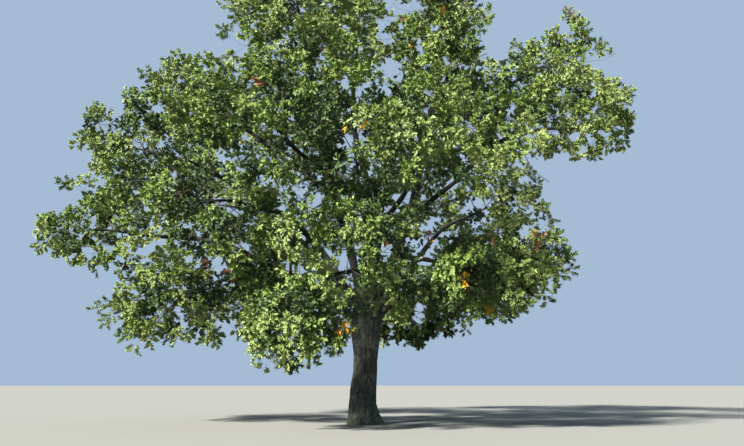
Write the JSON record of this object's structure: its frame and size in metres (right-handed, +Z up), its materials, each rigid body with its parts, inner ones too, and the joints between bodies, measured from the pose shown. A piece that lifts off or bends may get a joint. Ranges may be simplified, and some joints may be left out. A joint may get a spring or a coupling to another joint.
{
  "type": "oak tree",
  "caption": "Broad field oak rooted in the ground: short flared trunk, boughs spreading from its fork and a wide leafy crown of separate masses with gaps.",
  "frame": {"origin": "middle of the flat cut under the trunk, at ground level", "axes": "+Z up the trunk, +X to the right as the picture shows it, -Y towards the camera"},
  "size_m": [21.9581, 20.0226, 17.6865],
  "materials": {
    "bark": "rough fissured grey-brown bark",
    "bough_bark": "rough grey-brown bark",
    "foliage": "matt green leaves, some turning yellow and rust"
  },
  "bodies": {
    "root": {"trunk": "bark", "bough_left_tip": "bough_bark", "bough_left_main": "bough_bark", "bough_leader_left": "bough_bark", "bough_leader_mid": "bough_bark", "bough_leader_right": "bough_bark", "bough_right_low": "bough_bark", "bough_front_main": "bough_bark", "bough_back_right": "bough_bark", "bough_back_left": "bough_bark", "bough_right_main": "bough_bark", "bough_left_low": "bough_bark", "bough_left_front_low": "bough_bark", "bough_left_front": "bough_bark", "bough_front_low": "bough_bark", "bough_right_front_low": "bough_bark", "bough_right_back_low": "bough_bark", "bough_back_right_low": "bough_bark", "bough_back_main": "bough_bark", "bough_back_left_low": "bough_bark", "bough_front_left": "bough_bark", "bough_right_front": "bough_bark", "bough_right_upper": "bough_bark", "bough_left_upper": "bough_bark", "bough_front_left_upper": "bough_bark", "bough_front_right_upper": "bough_bark", "bough_right_back_upper": "bough_bark", "bough_left_back_upper": "bough_bark", "bough_middle_front": "bough_bark", "bough_left_inner": "bough_bark", "foliage_left_tip": "foliage", "foliage_left_main": "foliage", "foliage_leader_left": "foliage", "foliage_leader_mid": "foliage", "foliage_leader_right": "foliage", "foliage_right_low": "foliage", "foliage_front_main": "foliage", "foliage_back_right": "foliage", "foliage_back_left": "foliage", "foliage_right_main": "foliage", "foliage_left_low": "foliage", "foliage_left_front_low": "foliage", "foliage_left_front": "foliage", "foliage_front_low": "foliage", "foliage_right_front_low": "foliage", "foliage_right_back_low": "foliage", "foliage_back_right_low": "foliage", "foliage_back_main": "foliage", "foliage_back_left_low": "foliage", "foliage_front_left": "foliage", "foliage_right_front": "foliage", "foliage_right_upper": "foliage", "foliage_left_upper": "foliage", "foliage_front_left_upper": "foliage", "foliage_front_right_upper": "foliage", "foliage_right_back_upper": "foliage", "foliage_left_back_upper": "foliage", "foliage_middle_front": "foliage", "foliage_left_inner": "foliage"}
  },
  "joints": []
}
